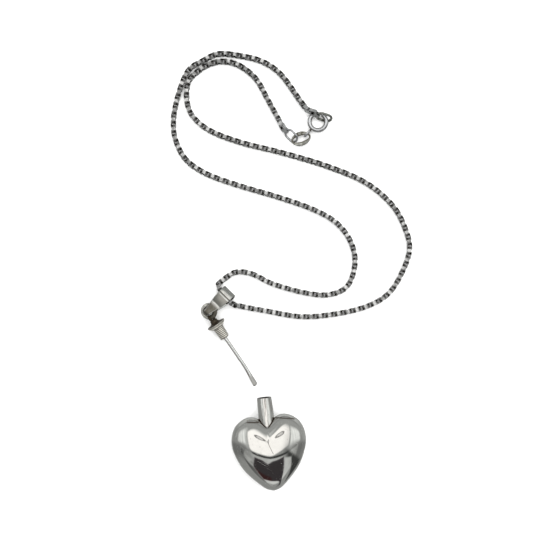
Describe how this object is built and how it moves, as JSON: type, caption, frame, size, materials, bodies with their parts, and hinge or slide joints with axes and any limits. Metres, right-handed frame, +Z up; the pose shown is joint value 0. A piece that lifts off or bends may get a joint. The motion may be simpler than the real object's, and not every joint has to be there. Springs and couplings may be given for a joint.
{
  "type": "perfume bottle pendant",
  "caption": "Puffed heart perfume bottle pendant with a screw neck, its stopper with dip rod taken out, hung by a folded bail on a box chain with a spring ring clasp.",
  "frame": {"origin": "middle of the layout's bounding box on the floor it lies on", "axes": "+Z up from the floor, +Y from the heart's tip towards the far end of the chain, +X to the right seen from above"},
  "size_m": [0.0818, 0.1479, 0.0115],
  "materials": {
    "polished_silver": "mirror polished silver with fine scratches",
    "tarnished_silver": "tarnished silver, dark in the hollows and warm on the thread",
    "bright_silver": "smooth bright silver",
    "aged_silver": "grey satin silver with bright worn edges",
    "chain_silver": "bright link faces over darkened recesses"
  },
  "bodies": {
    "necklace": {"bottle": "polished_silver", "stopper": "tarnished_silver", "dip_rod": "bright_silver", "jump_ring": "aged_silver", "bail": "aged_silver", "chain": "chain_silver", "end_link_a": "chain_silver", "end_link_b": "chain_silver", "end_ring": "aged_silver", "spring_ring": "bright_silver", "tag_ring": "aged_silver", "oval_ring": "bright_silver"},
    "bolt": {"clasp_bolt": "bright_silver"}
  },
  "joints": [
    {"name": "clasp_bolt_turn", "type": "hinge", "parent": "necklace", "child": "bolt", "pos_m": [0.0089, 0.05, 0.0016], "axis": [0, 0, 1], "range_deg": [0, 60], "stiffness_Nm_per_rad": 0.001, "springref_deg": -17.19}
  ]
}
